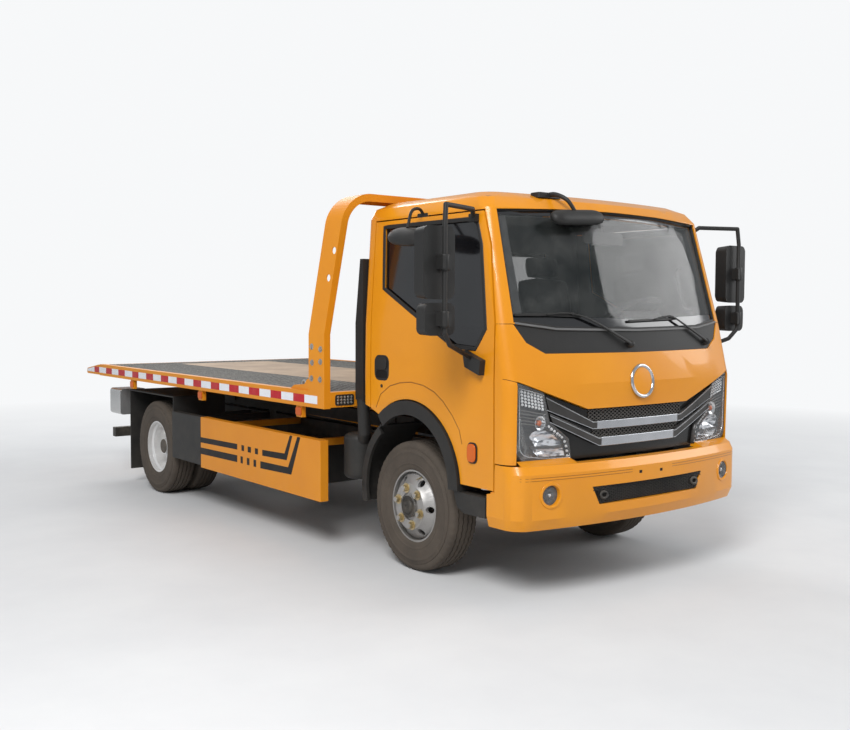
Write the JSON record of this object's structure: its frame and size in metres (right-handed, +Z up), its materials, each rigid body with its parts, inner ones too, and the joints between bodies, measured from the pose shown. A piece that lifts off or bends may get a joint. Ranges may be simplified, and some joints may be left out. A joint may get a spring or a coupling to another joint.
{
  "type": "flatbed tow truck",
  "caption": "Light flatbed tow truck whose deck slides back and tilts to the ground, with hinged doors, steered front wheels, twin rear wheels and a winch.",
  "frame": {"origin": "bottom centre of the truck's box, on the ground", "axes": "+Z up, -Y to the front of the truck, +X to its left-hand side"},
  "size_m": [2.699, 5.9, 2.262],
  "materials": {
    "cab_paint": "glossy amber-yellow paint",
    "body_paint": "satin amber-yellow paint",
    "frame_paint": "satin black chassis paint",
    "axle_iron": "dark cast iron",
    "spring_steel": "dark spring steel",
    "engine_iron": "grey cast iron",
    "tank_alloy": "dull aluminium",
    "exhaust_steel": "heat-dulled steel",
    "black_plastic": "textured black plastic",
    "gloss_black": "gloss black plastic",
    "trim_grey": "soft grey plastic",
    "floor_mat": "black rubber mat",
    "seat_fabric": "dark grey fabric",
    "window_glass": "clear glass",
    "lamp_glass": "clear lamp lens",
    "chrome_trim": "bright chrome",
    "lamp_box_steel": "polished steel",
    "tyre_rubber": "dusty black rubber",
    "rim_steel": "silver paint",
    "deck_steel": "worn checker plate",
    "rod_chrome": "hard chrome rod",
    "winch_steel": "wire rope on a steel drum"
  },
  "bodies": {
    "chassis": {"cab_roof": "cab_paint", "cab_back": "cab_paint", "cab_front": "cab_paint", "a_pillars": "cab_paint", "cab_glass": "window_glass", "cowl_panel": "black_plastic", "cab_floor": "floor_mat", "dashboard": "trim_grey", "steering_wheel": "black_plastic", "seats": "seat_fabric", "grille_panel": "gloss_black", "grille_bars": "chrome_trim", "front_lamps": "lamp_glass", "bumper": "cab_paint", "wheel_arches": "black_plastic", "air_duct": "black_plastic", "frame_rails": "frame_paint", "frame_cross": "frame_paint", "front_axle": "axle_iron", "leaf_springs": "spring_steel", "driveline": "axle_iron", "engine_block": "engine_iron", "side_guards": "body_paint", "side_boxes": "black_plastic", "fuel_tank": "tank_alloy", "battery_box": "black_plastic", "exhaust": "exhaust_steel", "rear_mudguards": "black_plastic", "rear_bar": "frame_paint", "lamp_boxes": "lamp_box_steel"},
    "knuckle_right": {"knuckle_right": "axle_iron"},
    "knuckle_left": {"knuckle_left": "axle_iron"},
    "tie_rod": {"tie_rod": "spring_steel"},
    "wheel_front_right": {"tyre_front_right": "tyre_rubber", "rim_front_right": "rim_steel"},
    "wheel_front_left": {"tyre_front_left": "tyre_rubber", "rim_front_left": "rim_steel"},
    "wheel_rear_right": {"tyres_rear_right": "tyre_rubber", "rims_rear_right": "rim_steel"},
    "wheel_rear_left": {"tyres_rear_left": "tyre_rubber", "rims_rear_left": "rim_steel"},
    "door_right": {"door_right": "cab_paint", "door_glass_right": "window_glass", "mirror_right": "black_plastic"},
    "door_left": {"door_left": "cab_paint", "door_glass_left": "window_glass", "mirror_left": "black_plastic"},
    "tilt_frame": {"tilt_frame": "frame_paint"},
    "deck": {"deck_plate": "deck_steel", "deck_beams": "body_paint", "deck_bearers": "body_paint", "side_rails": "body_paint", "deck_tail": "body_paint", "headboard_arms": "body_paint", "headboard_bars": "body_paint", "winch_frame": "frame_paint"},
    "winch_drum": {"winch_drum": "winch_steel"},
    "lift_barrels": {"lift_barrels": "frame_paint"},
    "lift_rods": {"lift_rods": "rod_chrome"}
  },
  "joints": [
    {"name": "steer_right", "type": "hinge", "parent": "chassis", "child": "knuckle_right", "pos_m": [-0.69, -1.86, 0.388], "axis": [0, 0, 1], "range_deg": [-32, 32]},
    {"name": "steer_left", "type": "hinge", "parent": "chassis", "child": "knuckle_left", "pos_m": [0.69, -1.86, 0.388], "axis": [0, 0, 1], "range_deg": [-32, 32]},
    {"name": "tie_rod_end", "type": "hinge", "parent": "knuckle_right", "child": "tie_rod", "pos_m": [-0.63, -1.67, 0.296], "axis": [0, 0, 1], "range_deg": [-32, 32]},
    {"name": "roll_front_right", "type": "hinge", "parent": "knuckle_right", "child": "wheel_front_right", "pos_m": [-0.78, -1.86, 0.388], "axis": [1, 0, 0], "continuous": true},
    {"name": "roll_front_left", "type": "hinge", "parent": "knuckle_left", "child": "wheel_front_left", "pos_m": [0.78, -1.86, 0.388], "axis": [1, 0, 0], "continuous": true},
    {"name": "roll_rear_right", "type": "hinge", "parent": "chassis", "child": "wheel_rear_right", "pos_m": [-0.86, 1.5, 0.388], "axis": [1, 0, 0], "continuous": true},
    {"name": "roll_rear_left", "type": "hinge", "parent": "chassis", "child": "wheel_rear_left", "pos_m": [0.86, 1.5, 0.388], "axis": [1, 0, 0], "continuous": true},
    {"name": "door_right_hinge", "type": "hinge", "parent": "chassis", "child": "door_right", "pos_m": [-0.928, -2.648, 1.18], "axis": [0, 0, 1], "range_deg": [0, 60]},
    {"name": "door_left_hinge", "type": "hinge", "parent": "chassis", "child": "door_left", "pos_m": [0.928, -2.648, 1.18], "axis": [0, 0, -1], "range_deg": [0, 60]},
    {"name": "bed_tilt", "type": "hinge", "parent": "chassis", "child": "tilt_frame", "pos_m": [0, 2.38, 0.79], "axis": [-1, 0, 0], "range_deg": [0, 16]},
    {"name": "bed_slide", "type": "slide", "parent": "tilt_frame", "child": "deck", "axis": [0, 1, 0], "range_m": [0, 2.7]},
    {"name": "lift_base", "type": "hinge", "parent": "chassis", "child": "lift_barrels", "pos_m": [0, 0.94, 0.5], "axis": [1, 0, 0], "range_deg": [0, 14.12]},
    {"name": "lift_stroke", "type": "slide", "parent": "lift_barrels", "child": "lift_rods", "axis": [0, 0.921, 0.3896], "range_m": [0, 0.1288]},
    {"name": "winch_spin", "type": "hinge", "parent": "deck", "child": "winch_drum", "pos_m": [0, -1.04, 1.185], "axis": [1, 0, 0], "continuous": true}
  ],
  "couplings": [
    {"joint": "steer_left", "follows": "steer_right", "ratio": 1},
    {"joint": "tie_rod_end", "follows": "steer_right", "ratio": -1},
    {"joint": "lift_base", "follows": "bed_tilt", "ratio": 0.86361},
    {"joint": "lift_stroke", "follows": "bed_tilt", "m_per_rad": 0.44686}
  ]
}
